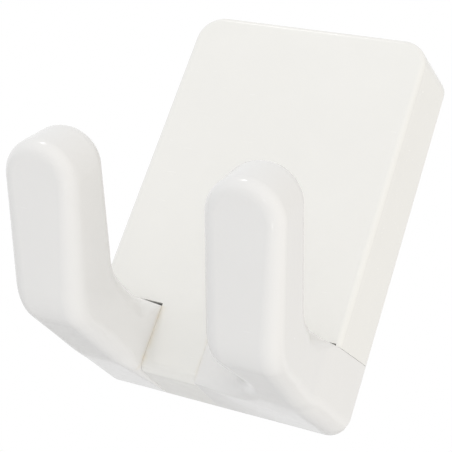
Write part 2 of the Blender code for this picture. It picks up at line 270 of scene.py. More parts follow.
def at_depth(outline, y):
    return [(point.x, y, point.y) for point, _ in outline]


def loft(rings, folded=False):
    """Skin a list of rings of points; a ring of one point closes the end to a pole.

    When folded, the last ring is already pressed flat and its two halves are joined.
    """
    bm = bmesh.new()
    loops = [[bm.verts.new(point) for point in ring] for ring in rings]
    for lower, upper in zip(loops, loops[1:]):
        count = max(len(lower), len(upper))
        for i in range(count):
            j = (i + 1) % count
            corners = [lower[i % len(lower)], lower[j % len(lower)]]
            corners += [upper[j % len(upper)], upper[i % len(upper)]]
            bm.faces.new(list(dict.fromkeys(corners)))
    for loop in loops[:1] if folded else (loops[0], loops[-1]):
        if len(loop) > 1:
            bm.faces.new(loop)
    bmesh.ops.remove_doubles(bm, verts=bm.verts, dist=FOLD_REACH if folded else MERGE_REACH)
    bmesh.ops.recalc_face_normals(bm, faces=bm.faces)
    return bm


def prism(outline_yz, left, right):
    return loft([[(x, y, z) for y, z in outline_yz] for x in (left, right)])


def box(low, high):
    outline = [(low[1], low[2]), (high[1], low[2]), (high[1], high[2]), (low[1], high[2])]
    return prism(outline, low[0], high[0])


def turned(profile, x, z):
    """Turn (radius, y) pairs about a line along Y; a radius of zero is a pole."""
    rings = []
    for radius, y in profile:
        turns = [2 * math.pi * step / ROUND_STEPS for step in range(ROUND_STEPS if radius else 1)]
        rings.append([(x + radius * math.cos(a), y, z + radius * math.sin(a)) for a in turns])
    return loft(rings)


def flat_block(outline, front_y, back_y):
    return loft([at_depth(outline, y) for y in (front_y, back_y)])


def new_object(name, data):
    obj = bpy.data.objects.new(name, data)
    bpy.context.scene.collection.objects.link(obj)
    return obj


def drop_object(obj):
    mesh = obj.data
    bpy.data.objects.remove(obj, do_unlink=True)
    bpy.data.meshes.remove(mesh)


def rough_solid(name, bm):
    mesh = bpy.data.meshes.new(name)
    bm.to_mesh(mesh)
    bm.free()
    mesh.shade_smooth()
    return new_object(name, mesh)


def evaluated_mesh(name, obj):
    """A plain mesh of what an object's modifiers make."""
    graph = bpy.context.evaluated_depsgraph_get()
    graph.update()
    mesh = bpy.data.meshes.new_from_object(
        obj.evaluated_get(graph), preserve_all_data_layers=True, depsgraph=graph)
    if len(mesh.polygons) < FEWEST_FACES:
        raise RuntimeError(name + " came out empty")
    return mesh


def carve(name, body, tools, edge):
    """Join and cut the tools into the body, round its cut edges and return it as a plain mesh object."""
    rough = rough_solid(name + "_rough", body)
    helpers = [rough]
    for count, (operation, bm) in enumerate(tools):
        tool = rough_solid(f"{name}_tool_{count}", bm)
        helpers.append(tool)
        cut = rough.modifiers.new("cut", "BOOLEAN")
        cut.operation = operation
        cut.solver = "EXACT"
        cut.object = tool
    rough.modifiers.new("weld", "WELD").merge_threshold = WELD_REACH
    bevel = rough.modifiers.new("edges", "BEVEL")
    bevel.width = edge
    bevel.segments = EDGE_STEPS
    bevel.limit_method = "ANGLE"
    bevel.angle_limit = ROUNDED_ANGLE
    bevel.use_clamp_overlap = True
    rough.modifiers.new("slivers", "WELD").merge_threshold = SLIVER_REACH
    rough.modifiers.new("normals", "WEIGHTED_NORMAL").keep_sharp = False
    mesh = evaluated_mesh(name, rough)
    for helper in helpers:
        drop_object(helper)
    mesh.name = name
    mesh.transform(Matrix.Translation((0.0, 0.0, BOTTOM)))
    return new_object(name, mesh)


def settle(piece, body, nodes, slot):
    """Give a finished piece its material, its body and the CAD nodes it stands for."""
    piece.data.materials.clear()
    piece.data.materials.append(finish(slot))
    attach(piece, body)
    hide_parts(*nodes)


def foot_top(cover, hook, y):
    """Height of the feet's straight upper side, also past its ends."""
    return hook.foot_height + hook.foot_rise * (1.0 + y / cover.depth)


def cover_outline(cover, y, inset):
    share = -y / cover.depth
    half = cover.width / 2 - cover.draft * share - inset
    top = cover.height - cover.draft * share - inset
    radius = max(mix(cover.corner_back, cover.corner_front, share) - inset, LEAST_RADIUS)
    return rounded_outline(-half, half, inset, top, radius)


def cover_block(cover):
    """The cover's outer shape, with its front edge rounded and the tongue's lower edge rounder still."""
    wall_end = cover_outline(cover, 0.0, 0.0)
    front_end = cover_outline(cover, -cover.depth, 0.0)
    rings = [at_depth(wall_end, 0.0)]
    for angle in quarter_turns(0, FILLET_STEPS):
        ring = []
        for (back, facing), (front, _) in zip(wall_end, front_end):
            edge = mix(cover.front_edge, cover.tongue_edge, max(-facing.y, 0.0) ** 2)
            y = -cover.depth + edge * (1.0 - math.sin(angle))
            place = back.lerp(front, -y / cover.depth) - facing * edge * (1.0 - math.cos(angle))
            ring.append((place.x, y, place.y))
        rings.append(ring)
    return loft(rings)


def make_cover(sizes):
    cover, hook = sizes.cover, sizes.hook
    front = -cover.depth - PAST
    inner_face = -cover.depth + cover.wall
    hollow = [at_depth(cover_outline(cover, y, cover.wall), y) for y in (inner_face, PAST)]
    wall_back = inner_face + cover.fit_gap
    front_top = hook.foot_height + cover.foot_gap
    front_gap = [
        (front, -PAST),
        (PAST, -PAST),
        (PAST, foot_top(cover, hook, PAST) + cover.fit_gap),
        (wall_back, foot_top(cover, hook, wall_back) + cover.fit_gap),
        (wall_back, front_top),
        (front, front_top),
    ]
    side_gap = [(y, foot_top(cover, hook, y) + cover.side_gap) for y in (PAST, front)]
    side_gap += [(front, -PAST), (PAST, -PAST)]
    reach, side_start = cover.width / 2 + PAST, cover.gap_reach - CUT_OVERLAP
    cuts = [
        loft(hollow),
        prism(front_gap, -cover.gap_reach, cover.tongue_left),
        prism(front_gap, cover.tongue_right, cover.gap_reach),
        prism(side_gap, -reach, -side_start),
        prism(side_gap, side_start, reach),
    ]
    tools = [("DIFFERENCE", cut) for cut in cuts]
    for side in (-1, 1):
        ends = sorted((side * cover.tab_inner, side * (cover.width - cover.wall) / 2))
        for z in (cover.tab_low, cover.tab_high):
            low = (ends[0], -cover.tab_front, z)
            high = (ends[1], -cover.tab_back, z + cover.tab_length)
            tools.append(("UNION", box(low, high)))
    shell = carve("cover_shell", cover_block(cover), tools, cover.edge_break)
    settle(shell, "cover", ["front_cover"], "cover_plastic")


def section(side, inner_x, outer_x, under, crown, radii):
    """One ring of an arm: a flat underside with rounded edges and a crowned upper side.

    under and crown are (y, z) points; radii give the inner and outer lower edges, then the width and
    height of the rounding of the inner and outer upper edges.
    """
    rise = crown - under
    height = rise.length
    width = outer_x - inner_x
    inner_edge, outer_edge, (inner_half, inner_height), (outer_half, outer_height) = radii
    corners = [
        (outer_edge, outer_edge, width - outer_edge, outer_edge),
        (outer_half, outer_height, width - outer_half, height - outer_height),
        (inner_half, inner_height, inner_half, height - inner_height),
        (inner_edge, inner_edge, inner_edge, inner_edge),
    ]
    ring = []
    for quarter, (radius_x, radius_z, centre_x, centre_z) in enumerate(corners, -1):
        for angle in quarter_turns(quarter, SECTION_STEPS):
            y, z = under + rise * ((centre_z + radius_z * math.sin(angle)) / height)
            ring.append((side * (inner_x + centre_x + radius_x * math.cos(angle)), y, z))
    return ring


def eased(start, end, slope, share):
    """A curve from start to end that leaves start with a slope and reaches end level."""
    rest = 1.0 - share
    return start * rest * rest * (1.0 + 2.0 * share) + slope * share * rest * rest + end * smooth_step(share)


def ahead_of_foot(cover, hook, y):
    """How far a depth lies along the stretch in which a foot turns into its arm, from 0 to 1."""
    return min(max((-cover.depth - y) / hook.blend, 0.0), 1.0)


def foot_line(cover, hook, y, at_wall, at_front, at_arm):
    """A value that runs straight from the wall to the front and then eases into the arm's."""
    if y >= -cover.depth:
        return mix(at_wall, at_front, -y / cover.depth)
    slope = (at_front - at_wall) * hook.blend / cover.depth
    return eased(at_front, at_arm, slope, ahead_of_foot(cover, hook, y))


def outer_side(cover, hook, y):
    half = cover.width / 2
    return foot_line(cover, hook, y, half, half - cover.draft, hook.outer_x)


def underside(cover, hook, y):
    return foot_line(cover, hook, y, 0.0, -hook.foot_drop, -hook.drop)


def upper_side(cover, hook, y):
    height = hook.foot_height
    return foot_line(cover, hook, y, height + hook.foot_rise, height, height - hook.saddle)


def crown_edge(cover, hook, y, reach, power):
    """Width and height of the rounding of an arm's upper edge, which comes on over a reach."""
    soft = smooth_step((-cover.depth - y) / reach)
    half = hook.width / 2 - CROWN_FLAT
    return mix(hook.foot_edge, half, soft ** power), mix(hook.foot_edge, hook.crown, soft)


def inner_crown(cover, hook, y):
    return crown_edge(cover, hook, y, hook.inner_blend, INNER_CROWN_POWER)


def outer_crown(cover, hook, y):
    return crown_edge(cover, hook, y, hook.outer_blend, OUTER_CROWN_POWER)


def wide_section(cover, hook, inner, outer, lower_edge, at_wall):
    """A ring of the right foot in the upright plane through two plan points, in the order of an arm's ring."""
    arm_x = hook.outer_x - hook.width
    way = (outer - inner).normalized()

    def under(place):
        share = (place.x - hook.wide_foot_inner) / (arm_x - hook.wide_foot_inner)
        return underside(cover, hook, place.y) * smooth_step(share)

    def upper(place):
        return upper_side(cover, hook, place.y)

    radius = mix(hook.foot_corner, hook.edge, smooth_step(ahead_of_foot(cover, hook, outer.y)))
    last = 0.0
    if at_wall:
        last = -math.acos(min(max(1.0 - (cover.width / 2 - outer.x) / radius, 0.0), 1.0))
    ring = []
    for step in range(SECTION_STEPS + 1):
        angle = mix(-math.pi / 2, last, step / SECTION_STEPS)
        place = outer
        if last > -math.pi / 2:
            place = meet_side(cover, hook, inner, way, outer, radius * (1.0 - math.cos(angle)))
        ring.append((place, under(place) + radius * (1.0 + math.sin(angle))))
    outer_half, outer_height = (0.0, 0.0) if at_wall else outer_crown(cover, hook, outer.y)
    inner_half, inner_height = inner_crown(cover, hook, inner.y)
    arcs = [
        (outer, -outer_half, -outer_height, upper),
        (inner, inner_half, -inner_height, upper),
        (inner, lower_edge, lower_edge, under),
    ]
    for quarter, (start, half, height, level) in enumerate(arcs):
        for angle in quarter_turns(quarter, SECTION_STEPS):
            place = start + way * half * (1.0 - abs(math.cos(angle)))
            ring.append((place, level(place) + height * (1.0 - abs(math.sin(angle)))))
    return [(place.x, place.y, z) for place, z in ring]


def meet_side(cover, hook, inner, way, place, inset=0.0):
    """Where the way from an inner plan point meets the outer side moved in by an inset, sought from a place."""
    for _ in range(SETTLE_STEPS):
        target = outer_side(cover, hook, place.y) - inset
        place = inner + way * ((target - inner.x) / way.x)
    return place


def flare_ray(cover, hook, turn):
    """A plan point of the right arm's flared root, a quarter of an ellipse, and the way square to it."""
    across, along = math.sin(turn), math.cos(turn)
    x = hook.outer_x - hook.width - hook.flare * (1.0 - across)
    y = -cover.depth - hook.flare_reach * (1.0 - along)
    return Vector((x, y)), Vector((across / hook.flare, along / hook.flare_reach)).normalized()


def turn_to_wall(cover, hook, x):
    """The turn at which the ray from the flared root meets the wall at x."""
    low, high = 0.0, math.pi / 2
    for _ in range(HALVING_STEPS):
        turn = (low + high) / 2
        inner, way = flare_ray(cover, hook, turn)
        if inner.x * way.y - inner.y * way.x < x * way.y:
            low = turn
        else:
            high = turn
    return low


def wide_foot_rings(cover, hook):
    """The right foot, which runs along the wall from the tongue and turns forwards into its arm."""
    root_x = hook.outer_x - hook.width - hook.flare
    rings = []
    for step in range(FOOT_STEPS):
        x = mix(hook.wide_foot_inner, root_x, step / FOOT_STEPS)
        inner, outer = Vector((x, -cover.depth)), Vector((x, 0.0))
        rings.append(wide_section(cover, hook, inner, outer, hook.foot_crease, True))
    rounding = turn_to_wall(cover, hook, cover.width / 2 - hook.foot_corner)
    corner = turn_to_wall(cover, hook, cover.width / 2)
    stops = (0.0, rounding, corner, math.pi / 2)
    turns = [mix(a, b, step / n) for a, b, n in zip(stops, stops[1:], FAN_STEPS) for step in range(n)]
    for turn in turns:
        inner, way = flare_ray(cover, hook, turn)
        at_wall = turn < corner
        outer = inner - way * (inner.y / way.y) if at_wall else meet_side(cover, hook, inner, way, inner)
        edge = mix(hook.foot_crease, hook.root_edge, smooth_step(turn / CREASE_TURN))
        rings.append(wide_section(cover, hook, inner, outer, edge, at_wall))
    return rings


def foot_rings(side, cover, hook):
    """The foot of one hook and the stretch over which it turns into its arm."""
    front = -cover.depth
    inner_x = hook.outer_x - hook.width
    if side > 0:
        rings = wide_foot_rings(cover, hook)
        places = [front - hook.flare_reach]
        inner_edges = (hook.root_edge, hook.root_edge)
    else:
        inner_edges = (hook.foot_front_edge, hook.edge)
        places = [front - hook.outer_blend * (step / BLEND_STEPS) ** 2 for step in range(BLEND_STEPS + 1)]
        plain = (hook.foot_edge, hook.foot_edge)
        radii = (hook.foot_edge, hook.foot_corner, plain, plain)
        crown = Vector((0.0, foot_top(cover, hook, 0.0)))
        rings = [section(side, inner_x, cover.width / 2, Vector((0.0, 0.0)), crown, radii)]
    for y in places:
        soft = smooth_step(ahead_of_foot(cover, hook, y))
        radii = (
            mix(*inner_edges, soft),
            mix(hook.foot_corner, hook.edge, soft),
            inner_crown(cover, hook, y),
            outer_crown(cover, hook, y),
        )
        under = Vector((y, underside(cover, hook, y)))
        crown = Vector((y, upper_side(cover, hook, y)))
        rings.append(section(side, inner_x, outer_side(cover, hook, y), under, crown, radii))
    return rings


def arm_rings(side, hook):
    """The bend, the rise and the half-round tip of one arm."""
    inner_x = hook.outer_x - hook.width
    crown_z = hook.foot_height - hook.saddle
    bend = hook.bend_angle
    round_top = (hook.width / 2 - CROWN_FLAT, hook.crown)
    radii = (hook.edge, hook.edge, round_top, round_top)
    across = Vector((math.sin(bend), math.cos(bend)))
    along = Vector((-math.cos(bend), math.sin(bend)))
    outer_centre = Vector((-hook.bend_start, hook.outer_radius - hook.drop))
    rise_start = outer_centre - hook.outer_radius * across
    crown_start = rise_start + hook.bend_thickness * across
    corner_y = crown_start.x - (crown_z - crown_start.y) / math.tan(bend)
    inner_centre = Vector((corner_y + hook.inner_radius * math.tan(bend / 2), crown_z + hook.inner_radius))
    rings = []
    for step in range(BEND_STEPS + 1):
        angle = bend * step / BEND_STEPS
        towards = -Vector((math.sin(angle), math.cos(angle)))
        under = outer_centre + hook.outer_radius * towards
        crown = inner_centre + hook.inner_radius * towards
        rings.append(section(side, inner_x, hook.outer_x, under, crown, radii))
    tip_base = rise_start + along * (hook.rise - hook.width / 2)
    radii = (hook.tip_edge, hook.tip_edge, round_top, round_top)
    last = section(side, inner_x, hook.outer_x, tip_base, tip_base + across * hook.tip_thickness, radii)
    return rings + tip_rings(last, side * (inner_x + hook.outer_x) / 2, along)


def tip_rings(last, middle, along):
    """Turn the last ring's two halves about its middle until they meet, which gives a half-round tip."""
    rings = []
    for angle in quarter_turns(0, TIP_STEPS):
        ring = []
        for x, y, z in last:
            ahead = along * abs(x - middle) * math.sin(angle)
            ring.append((middle + (x - middle) * math.cos(angle), y + ahead.x, z + ahead.y))
        rings.append(ring)
    return rings


def hook_screw_places(side):
    """The X and height of each hook screw, from the frame's own screws."""
    places = []
    for name in HOOK_SCREWS[side]:
        low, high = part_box(name)
        places.append(((low[0] + high[0]) / 2, (low[2] + high[2]) / 2 - BOTTOM))
    return places


def hook_screw_bores(screw, side):
    """Cuts for the countersunk holes of a side's hook screws, open towards the wall."""
    gap = screw.gap
    head = screw.hook_head / 2 + gap
    shank = screw.hook_shank / 2 + gap
    end = -screw.hook_length - gap * 2
    cone_end = -screw.hook_head_height - gap
    profile = [(0, PAST), (head, PAST), (head, -gap * 2), (shank, cone_end), (shank, end + shank), (0, end)]
    return [("DIFFERENCE", turned(profile, x, z)) for x, z in hook_screw_places(side)]


def make_hook(sizes, side, name, node):
    cover, hook, plate = sizes.cover, sizes.hook, sizes.plate
    pocket_half = plate.half + cover.fit_gap
    low = (-pocket_half, -plate.thickness - cover.fit_gap, plate.pocket_low)
    high = (pocket_half, PAST, hook.foot_height + hook.foot_rise + PAST)
    tools = [("DIFFERENCE", box(low, high))] + hook_screw_bores(sizes.screw, side)
    body = loft(foot_rings(side, cover, hook) + arm_rings(side, hook), folded=True)
    prong = carve(name, body, tools, hook.edge_break)
    settle(prong, "base", [node], "hook_plastic")


def make_back_plate(sizes):
    plate, screw, cover, hook = sizes.plate, sizes.screw, sizes.cover, sizes.hook
    outline = rounded_outline(-plate.half, plate.half, plate.bottom, plate.top, plate.corner)
    tools = []
    for z in (cover.tab_low, cover.tab_high):
        low = (-plate.ear_half, -plate.ear_front, z)
        high = (plate.ear_half, -plate.ear_back, z + cover.tab_length)
        tools.append(("UNION", box(low, high)))
    front = -plate.thickness - PAST
    low = (hook.width - hook.outer_x, front, plate.bottom - PAST)
    high = (hook.wide_foot_inner, PAST, plate.slot_top)
    tools.append(("DIFFERENCE", box(low, high)))
    tools += hook_screw_bores(screw, -1) + hook_screw_bores(screw, 1)
    radius = screw.wall_shank / 2 + screw.gap
    for z, slot in ((screw.wall_low, screw.slot_travel), (screw.wall_high, 0.0)):
        hole = rounded_outline(-radius - slot, radius + slot, z - radius, z + radius, radius)
        tools.append(("DIFFERENCE", flat_block(hole, front, PAST)))
    body = flat_block(outline, -plate.thickness, 0.0)
    panel = carve("wall_panel", body, tools, plate.edge_break)
    settle(panel, "base", ["back_plate"], "plate_plastic")


class Wiring:
    """A node tree with short ways to add its nodes and join them."""

    def __init__(self, tree):
        self.nodes, self.links = tree.nodes, tree.links

    def put(self, value, socket):
        """Join a socket to another node's output, or set its value."""
        if isinstance(value, bpy.types.NodeSocket):
            self.links.new(value, socket)
        else:
            socket.default_value = value

    def feed(self, node, inputs):
        for key, value in inputs.items():
            self.put(value, node.inputs[key])

    def add(self, kind, inputs=None, **settings):
        node = self.nodes.new(kind)
        for key, value in settings.items():
            setattr(node, key, value)
        self.feed(node, inputs or {})
        return node

    def math(self, operation, *values):
        return self.add("ShaderNodeMath", dict(enumerate(values)), operation=operation).outputs[0]

    def vector(self, **parts):
        return self.add("ShaderNodeCombineXYZ", parts).outputs[0]

    def blend(self, share, first, second):
        """A colour between two colours."""
        inputs = {"Factor": share, "A": first, "B": second}
        return self.add("ShaderNodeMix", inputs, data_type="RGBA").outputs["Result"]

    def noise(self, position, scale, detail, roughness=0.5):
        inputs = {"Vector": position, "Scale": scale, "Detail": detail, "Roughness": roughness}
        return self.add("ShaderNodeTexNoise", inputs).outputs["Fac"]

    def pattern(self, position, grain, out_low=0.0, out_high=1.0):
        """A noise whose values between the grain's limits become values between two others."""
        noise = self.noise(position, grain.scale, grain.detail, grain.roughness)
        return self.spread(noise, grain.low, grain.high, out_low, out_high)

    def stretched(self, position, scale, turn=(0.0, 0.0, 0.0)):
        inputs = {"Vector": position, "Scale": scale, "Rotation": turn}
        return self.add("ShaderNodeMapping", inputs).outputs["Vector"]

    def spread(self, value, low, high, out_low=0.0, out_high=1.0):
        """Turn values between low and high into values between two others."""
        inputs = {"Value": value, "From Min": low, "From Max": high, "To Min": out_low, "To Max": out_high}
        return self.add("ShaderNodeMapRange", inputs).outputs["Result"]

    def bump(self, height, strength, distance):
        inputs = {"Height": height, "Strength": strength, "Distance": distance}
        return self.add("ShaderNodeBump", inputs).outputs["Normal"]

    def shader_group(self, make, inputs):
        return self.add("ShaderNodeGroup", inputs, node_tree=shared_tree(make)).outputs

    def end_in(self, output, share, first, second):
        """End the tree in a mix of two shaders."""
        choice = self.add("ShaderNodeMixShader", {"Fac": share, 1: first, 2: second})
        self.put(choice.outputs["Shader"], self.nodes[output].inputs["Surface"])


def shared_tree(make):
    """The node group that a function makes and gives its own name, made the first time it is asked for."""
    return bpy.data.node_groups.get(make.__name__) or make(make.__name__)


def start_tree(name, kind, inputs, outputs):
    """A new node group whose sockets are given by name and kind, its wiring, and what enters and leaves it."""
    tree = bpy.data.node_groups.new(name, kind)
    for way, sockets in (("INPUT", inputs), ("OUTPUT", outputs)):
        for label, socket in sockets.items():
            tree.interface.new_socket(label, in_out=way, socket_type="NodeSocket" + socket)
    wiring = Wiring(tree)
    return tree, wiring, wiring.add("NodeGroupInput").outputs, wiring.add("NodeGroupOutput").inputs


SCREW_INPUTS = (
    "Head Outer Radius", "Head Inner Radius", "Head Height", "Core Radius", "Core Length", "Point Length",
    "Thread Start", "Thread Length", "Thread Turns", "Thread Depth",
    "Recess Width", "Recess Reach", "Recess Depth", "Turn",
)
# The core and the point each start inside what is before them, by a share of the head's height, and the point
# is a little thinner than the core, so that the parts join cleanly.
SUNK_SHARE = 0.25
POINT_SHARE = 0.97


def screw_run(name):
    """Geometry nodes for a screw with a cross recess and a cut thread, set at each point of a mesh."""
    inputs = {"Places": "Geometry", **dict.fromkeys(SCREW_INPUTS, "Float"), "Finish": "Material"}
    tree, wiring, entry, leave = start_tree(name, "GeometryNodeTree", inputs, {"Screws": "Geometry"})
    add, math_node = wiring.add, wiring.math

    def cone(lower, upper, depth):
        sizes = {"Vertices": SCREW_SIDES, "Radius Bottom": lower, "Radius Top": upper, "Depth": depth}
        return add("GeometryNodeMeshCone", sizes).outputs["Mesh"]

    def raised(geometry, height):
        moves = {"Geometry": geometry, "Translation": wiring.vector(Z=height)}
        return add("GeometryNodeTransform", moves).outputs["Geometry"]

    head_height, core_radius, core_length = entry["Head Height"], entry["Core Radius"], entry["Core Length"]
    sunk = math_node("MULTIPLY", head_height, SUNK_SHARE)
    head = cone(entry["Head Outer Radius"], entry["Head Inner Radius"], head_height)
    core = cone(core_radius, core_radius, math_node("ADD", core_length, sunk))
    core = raised(core, math_node("SUBTRACT", head_height, sunk))
    point_radius = math_node("MULTIPLY", core_radius, POINT_SHARE)
    point = cone(point_radius, 0.0, math_node("ADD", entry["Point Length"], sunk))
    core_end = math_node("ADD", head_height, core_length)
    point = raised(point, math_node("SUBTRACT", core_end, sunk))

    spiral = add("GeometryNodeCurveSpiral", {
        "Resolution": THREAD_STEPS, "Rotations": entry["Thread Turns"], "Height": entry["Thread Length"],
        "Start Radius": core_radius, "End Radius": core_radius})
    upright = add("GeometryNodeSetCurveNormal", {"Curve": spiral.outputs["Curve"]}, mode="Z_UP")
    ridge_sizes = {"Resolution": RIDGE_SIDES, "Radius": entry["Thread Depth"]}
    ridge = add("GeometryNodeCurvePrimitiveCircle", ridge_sizes, mode="RADIUS")
    sweep = add("GeometryNodeCurveToMesh", {
        "Curve": upright.outputs["Curve"], "Profile Curve": ridge.outputs["Curve"], "Fill Caps": True})
    thread = raised(sweep.outputs["Mesh"], entry["Thread Start"])

    solid = add("GeometryNodeMeshBoolean", operation="UNION", solver="EXACT")
    for part in (head, core, point, thread):
        wiring.put(part, solid.inputs["Mesh 2"])
    cut = add("GeometryNodeMeshBoolean", operation="DIFFERENCE", solver="EXACT")
    wiring.put(solid.outputs["Mesh"], cut.inputs["Mesh 1"])
    bar_height = math_node("ADD", entry["Recess Depth"], entry["Recess Depth"])
    for x, y in (("Recess Reach", "Recess Width"), ("Recess Width", "Recess Reach")):
        bar = add("GeometryNodeMeshCube", {"Size": wiring.vector(X=entry[x], Y=entry[y], Z=bar_height)})
        wiring.put(bar.outputs["Mesh"], cut.inputs["Mesh 2"])

    instances = add("GeometryNodeInstanceOnPoints", {
        "Points": entry["Places"], "Instance": cut.outputs["Mesh"], "Rotation": wiring.vector(X=entry["Turn"])})
    real = add("GeometryNodeRealizeInstances", {"Geometry": instances.outputs["Instances"]})
    coat = add("GeometryNodeSetMaterial", {"Geometry": real.outputs["Geometry"], "Material": entry["Finish"]})
    wiring.put(coat.outputs["Geometry"], leave["Screws"])
    return tree


def run_screws(name, places, values, nodes):
    """Set a screw at each place, turn the result into a plain mesh and put it on the base."""
    tree = shared_tree(screw_run)
    points = bpy.data.meshes.new(name + "_places")
    points.from_pydata(places, [], [])
    maker = new_object(name + "_maker", points)
    run = maker.modifiers.new("screws", "NODES")
    run.node_group = tree
    for item in tree.interface.items_tree:
        if item.name in values:
            run[item.identifier] = float(values[item.name])
        elif item.name == "Finish":
            run[item.identifier] = finish("zinc_steel")
    mesh = evaluated_mesh(name, maker)
    drop_object(maker)
    mesh.name = name
    mesh.shade_smooth()
    mesh.set_sharp_from_angle(angle=SHARP_ANGLE)
    settle(new_object(name, mesh), "base", nodes, "zinc_steel")


# Radius of a screw's core as a share of its shank's diameter, and of a hook screw's neck as a share of its
# core.
CORE_SHARE = 0.36
NECK_SHARE = 1.1
# Shares of a hook screw's length below its head.
HOOK_POINT_SHARE = 0.20
HOOK_THREAD_SHARE = 0.70
# Where a wall screw's thread starts, as a share of the plate's thickness.
WALL_PLAIN_SHARE = 1.2
# Width and reach of a cross recess as shares of the head's diameter, and its depth as a share of its height.
HOOK_RECESS = (0.15, 0.56, 0.62)
WALL_RECESS = (0.13, 0.50, 0.60)


def screw_values(shank, head, head_height, thread_start, thread_length, pitch, recess):
    """The inputs that both kinds of screw work out in the same way."""
    core = shank * CORE_SHARE
    width, reach, depth = recess
    return {
        "Head Height": head_height,
        "Core Radius": core,
        "Thread Start": head_height + thread_start,
        "Thread Length": thread_length,
        "Thread Turns": thread_length / pitch,
        "Thread Depth": shank / 2 - core,
        "Recess Width": head * width,
        "Recess Reach": head * reach,
        "Recess Depth": head_height * depth,
    }


def make_hook_screws(sizes):
    screw = sizes.screw
    body = screw.hook_length - screw.hook_head_height
    values = screw_values(
        screw.hook_shank, screw.hook_head, screw.hook_head_height, screw.hook_pitch,
        body * HOOK_THREAD_SHARE, screw.hook_pitch, HOOK_RECESS)
    values |= {
        "Head Outer Radius": screw.hook_head / 2,
        "Head Inner Radius": values["Core Radius"] * NECK_SHARE,
        "Core Length": body * (1.0 - HOOK_POINT_SHARE),
        "Point Length": body * HOOK_POINT_SHARE,
        "Turn": math.pi / 2,
    }
    places = [(x, -screw.gap, z + BOTTOM) for side in (-1, 1) for x, z in hook_screw_places(side)]
    run_screws("hook_screws", places, values, HOOK_SCREWS[-1] + HOOK_SCREWS[1])


def make_wall_screws(sizes):
    screw = sizes.screw
    body = screw.wall_length - screw.wall_point
    plain = sizes.plate.thickness * WALL_PLAIN_SHARE
    values = screw_values(
        screw.wall_shank, screw.wall_head, screw.wall_head_height, plain,
        body - plain, screw.wall_pitch, WALL_RECESS)
    values |= {
        "Head Outer Radius": screw.wall_head / 2 - screw.wall_head_height / 2,
        "Head Inner Radius": screw.wall_head / 2,
        "Core Length": body,
        "Point Length": screw.wall_point,
        "Turn": -math.pi / 2,
    }
    head_y = -sizes.plate.thickness - screw.gap - screw.wall_head_height
    places = [(0.0, head_y, z + BOTTOM) for z in (screw.wall_low, screw.wall_high)]
    run_screws("wall_screws", places, values, ("wall_screw_lower", "wall_screw_upper"))


# Scales are in repeats to the metre; low and high are the noise's values at which a pattern starts and is full.
Grain = namedtuple("Grain", "scale detail roughness low high")
CLOUDS = Grain(70.0, 3.0, 0.5, 0.35, 0.70)
UNEVEN_GLOSS = Grain(260.0, 4.0, 0.6, 0.30, 0.70)
SCUFFS = Grain(1.0, 2.0, 0.5, 0.66, 0.78)
SCUFF_SCALE = (180.0, 1500.0, 2400.0)
SCUFF_TURN = (0.3, 0.5, 0.7)
# Patches in the seams' brownish grime and painted warm shade.
STAIN_AND_SHADE_PATCHES = Grain(500.0, 3.0, 0.5, 0.35, 0.65)
STAIN_AND_SHADE_LEAST = 0.35
PEEL_DETAIL = 2.0
PEEL_STRENGTH = 0.35
PLASTIC_IOR = 1.49
PATCHES = Grain(420.0, 3.0, 0.5, 0.35, 0.65)
ZINC_WARM = (1.04, 1.01, 0.94)
ZINC_COOL = (0.90, 0.95, 1.00)
TURNING = Grain(1.0, 2.0, 0.5, 0.30, 0.70)
TURNING_SCALE = (300.0, 9000.0, 300.0)
TURNING_STRENGTH = 0.25
TURNING_DEPTH = 0.00003
ZINC_ROUGHNESS = (0.22, 0.42)

Look = namedtuple("Look", "cloudiness rough_low rough_high peel_scale peel_depth scuffs")
LOOKS = {
    "cover_plastic": Look(0.012, 0.16, 0.24, 2600.0, 0.00003, 0.10),
    "hook_plastic": Look(0.014, 0.13, 0.21, 2200.0, 0.00003, 0.10),
    "plate_plastic": Look(0.030, 0.38, 0.52, 5200.0, 0.00006, 0.06),
    "floor": Look(0.02, 0.55, 0.65, 300.0, 0.0001, 0.0),
}
SEAM_INPUTS = ("Seam", "Front", "Top", "Reach", "Strength")
# How far the brownish grime and painted warm shade reach from the seam on each side of the tongue, and how
# strong they are.
LEFT_DIRT_AND_SHADE = (0.0018, 0.42)
RIGHT_DIRT_AND_SHADE = (0.0010, 0.16)


def scaled(tone, shares):
    """A colour with alpha, each part of a tone times a share."""
    return (*(part * share for part, share in zip(tone, shares)), 1.0)


def moulded_skin(name):
    """Shader group for a moulded plastic surface: cloudy tone, uneven gloss, fine peel and hairline scuffs."""
    inputs = {"Position": "Vector", "Tone": "Color", "Cloud Tone": "Color"}
    inputs |= dict.fromkeys(("Peel Scale", "Roughness Low", "Roughness High", "Scuffs"), "Float")
    outputs = {"Colour": "Color", "Roughness": "Float", "Height": "Float"}
    tree, wiring, entry, leave = start_tree(name, "ShaderNodeTree", inputs, outputs)
    position = entry["Position"]
    clouds = wiring.pattern(position, CLOUDS)
    wiring.put(wiring.blend(clouds, entry["Tone"], entry["Cloud Tone"]), leave["Colour"])
    gloss = wiring.pattern(position, UNEVEN_GLOSS, entry["Roughness Low"], entry["Roughness High"])
    scuffs = wiring.pattern(wiring.stretched(position, SCUFF_SCALE, SCUFF_TURN), SCUFFS)
    wiring.put(wiring.math("MULTIPLY_ADD", scuffs, entry["Scuffs"], gloss), leave["Roughness"])
    wiring.put(wiring.noise(position, entry["Peel Scale"], PEEL_DETAIL), leave["Height"])
    return tree


